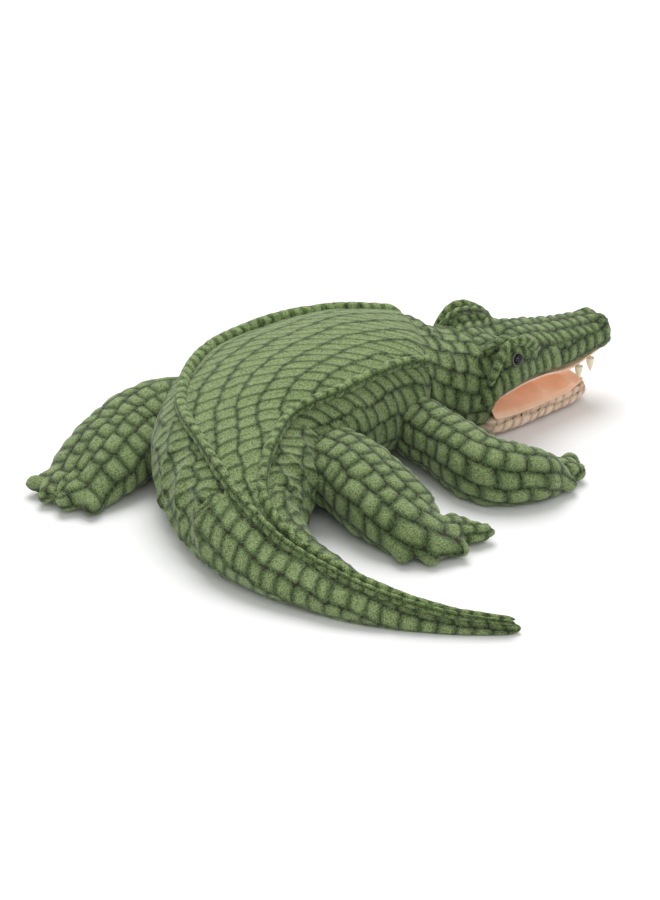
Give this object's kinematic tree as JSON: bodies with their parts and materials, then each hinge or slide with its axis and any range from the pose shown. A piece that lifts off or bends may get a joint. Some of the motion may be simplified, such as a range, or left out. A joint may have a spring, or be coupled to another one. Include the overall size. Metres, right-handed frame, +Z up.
{
  "type": "moving mouth puppet",
  "caption": "Plush alligator hand puppet lying on its belly, with a mouth worked by the fingers and thumb, hinged neck, legs and tail.",
  "frame": {"origin": "middle of the footprint, on the surface the puppet lies on", "axes": "+X from the rump towards the shoulders, +Y to the animal's left, +Z up"},
  "size_m": [0.4124, 0.3798, 0.089],
  "materials": {
    "scale_plush": "short-pile plush with printed scales",
    "belly_plush": "short-pile printed plush, tan",
    "ridge_plush": "short-pile plush piping",
    "inner_cloth": "plain woven lining",
    "mouth_cloth": "smooth brushed cloth, peach",
    "board": "bendable board",
    "eye_plastic": "polished black",
    "washer_plastic": "moulded",
    "tooth_felt": "soft ivory felt"
  },
  "bodies": {
    "torso": {"back_panel": "scale_plush", "flank_panel_left": "scale_plush", "flank_panel_right": "scale_plush", "belly_panel": "belly_plush", "back_ridge_left": "ridge_plush", "back_ridge_right": "ridge_plush", "arm_opening_hem": "ridge_plush", "sleeve_lining_top": "inner_cloth", "sleeve_lining_bottom": "inner_cloth", "rump_stuffing": "scale_plush"},
    "tail": {"tail_body": "scale_plush", "tail_ridge_left": "ridge_plush", "tail_ridge_right": "ridge_plush"},
    "neck": {"neck_sleeve_top": "scale_plush", "neck_sleeve_under": "belly_plush"},
    "upper_jaw": {"head_top": "scale_plush", "head_side_left": "scale_plush", "head_side_right": "scale_plush", "snout_tip": "scale_plush", "mouth_lining_upper": "mouth_cloth", "mouth_board_upper": "board", "finger_pocket": "inner_cloth", "brow_left": "ridge_plush", "eye_left": "eye_plastic", "eye_washer_left": "washer_plastic", "tooth_left_1": "tooth_felt", "tooth_left_2": "tooth_felt", "brow_right": "ridge_plush", "eye_right": "eye_plastic", "eye_washer_right": "washer_plastic", "tooth_right_1": "tooth_felt", "tooth_right_2": "tooth_felt"},
    "lower_jaw": {"chin": "belly_plush", "mouth_lining_lower": "mouth_cloth", "mouth_board_lower": "board", "thumb_pocket": "inner_cloth"},
    "leg_front_left": {"leg_front_left": "scale_plush", "foot_front_left": "scale_plush"},
    "leg_front_right": {"leg_front_right": "scale_plush", "foot_front_right": "scale_plush"},
    "leg_rear_left": {"leg_rear_left": "scale_plush", "foot_rear_left": "scale_plush"},
    "leg_rear_right": {"leg_rear_right": "scale_plush", "foot_rear_right": "scale_plush"}
  },
  "joints": [
    {"name": "tail_swing", "type": "hinge", "parent": "torso", "child": "tail", "pos_m": [-0.17008, -0.01035, 0.02], "axis": [0, 0, 1], "range_deg": [-30, 8]},
    {"name": "neck_turn", "type": "hinge", "parent": "torso", "child": "neck", "pos_m": [0.06467, 0.03665, 0.034], "axis": [0, 0, 1], "range_deg": [-20, 15]},
    {"name": "upper_jaw_open", "type": "hinge", "parent": "neck", "child": "upper_jaw", "pos_m": [0.08187, 0.01316, 0.024], "axis": [-0.3338, -0.9426, 0], "range_deg": [-4, 20]},
    {"name": "lower_jaw_open", "type": "hinge", "parent": "neck", "child": "lower_jaw", "pos_m": [0.08187, 0.01316, 0.024], "axis": [0.3338, 0.9426, 0], "range_deg": [-3, 12]},
    {"name": "leg_rear_right_lift", "type": "hinge", "parent": "torso", "child": "leg_rear_right", "pos_m": [-0.06933, 0.00665, 0.054], "axis": [-0.9659, -0.2588, 0], "range_deg": [0, 35]},
    {"name": "leg_front_right_lift", "type": "hinge", "parent": "torso", "child": "leg_front_right", "pos_m": [0.01267, 0.00215, 0.05], "axis": [-0.891, 0.454, 0], "range_deg": [0, 35]},
    {"name": "leg_rear_left_lift", "type": "hinge", "parent": "torso", "child": "leg_rear_left", "pos_m": [-0.08033, 0.14815, 0.048], "axis": [0.9877, 0.1564, 0], "range_deg": [0, 35]},
    {"name": "leg_front_left_lift", "type": "hinge", "parent": "torso", "child": "leg_front_left", "pos_m": [0.05467, 0.12215, 0.05], "axis": [0.9205, -0.3907, 0], "range_deg": [0, 35]}
  ]
}
